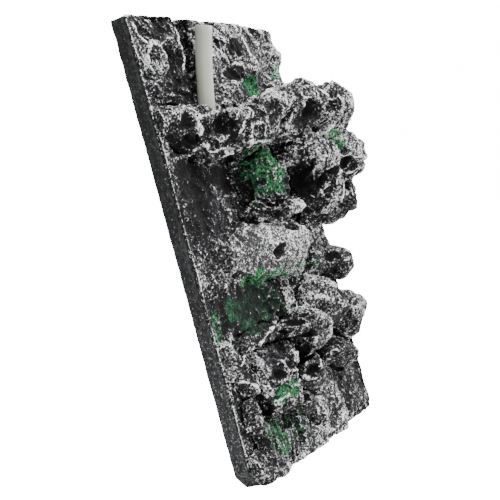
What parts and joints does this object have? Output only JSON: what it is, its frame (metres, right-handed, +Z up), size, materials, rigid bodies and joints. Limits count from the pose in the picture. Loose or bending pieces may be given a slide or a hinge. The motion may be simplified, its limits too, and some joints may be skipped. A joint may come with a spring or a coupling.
{
  "type": "resin rock backdrop",
  "caption": "Tall slab of moulded dark rock with painted moss: a jutting water ledge, caves, boulders and a riser hose fed by a small pump behind a lift-off rock.",
  "frame": {"origin": "centre of the backing board's bottom edge face", "axes": "+Z up along the board's height, -Y out of the rock face, +X to the right as seen from the front"},
  "size_m": [0.29, 0.1177, 0.44],
  "materials": {
    "board": "matte cast resin, charcoal",
    "facing": "matte cast resin with dry-brushed highlights",
    "rock": "matte cast resin with dry-brushed highlights and moss paint",
    "slide_rock": "matte cast resin, brushed pale grey",
    "hose": "translucent silicone",
    "pump": "fine satin",
    "rotor": "moulded over a magnet",
    "shaft": "polished",
    "bush": "matte",
    "dial": "satin",
    "gland": "matte",
    "cups": "clear vinyl",
    "pegs": "matte"
  },
  "bodies": {
    "rockwork": {"back_board": "board", "riser_hose": "hose", "ledge_tip_rock": "rock", "ledge_right_rock": "rock", "ledge_centre_rock": "rock", "ledge_spout_rock": "rock", "ledge_left_wing": "rock", "cave_pillar_rock": "rock", "upper_right_column": "rock", "lower_right_column": "rock", "moss_back_rock": "rock", "moss_lower_rock": "rock", "slide_boulder": "slide_rock", "slide_side_rock": "rock", "middle_right_boulder": "rock", "lower_round_boulder": "rock", "lower_centre_boulder": "rock", "lower_right_boulder": "rock", "split_pebble": "rock", "wedge_rock": "rock", "arch_lip_rock": "rock", "arch_left_pier": "rock", "base_corner_rock": "rock", "flowstone_curtain": "rock", "curtain_side_rock": "rock", "cave_sill_rock": "rock", "lower_left_rubble": "rock", "upper_left_boss": "rock", "base_right_rubble": "rock", "upper_left_facing": "facing", "upper_right_facing": "facing", "left_wall_facing": "facing", "cave_back_facing": "facing", "lower_left_facing": "facing", "lower_right_facing": "facing", "cover_pegs": "pegs", "pump_housing": "pump", "pump_front_cover": "pump", "impeller_shaft": "shaft", "rear_bush": "bush", "front_bush": "bush", "cable_gland": "gland", "suction_cups": "cups"},
    "lift_off_rock": {"pump_cover_rock": "rock"},
    "rotor": {"impeller": "rotor"},
    "dial": {"flow_dial": "dial"}
  },
  "joints": [
    {"name": "cover_lift_off", "type": "slide", "parent": "rockwork", "child": "lift_off_rock", "axis": [0, -1, 0], "range_m": [0, 0.06]},
    {"name": "impeller_spin", "type": "hinge", "parent": "rockwork", "child": "rotor", "pos_m": [-0.072, -0.004, 0.082], "axis": [0, -1, 0], "continuous": true},
    {"name": "flow_dial_turn", "type": "hinge", "parent": "rockwork", "child": "dial", "pos_m": [-0.072, -0.014, 0.082], "axis": [0, -1, 0], "range_deg": [0, 30]}
  ]
}
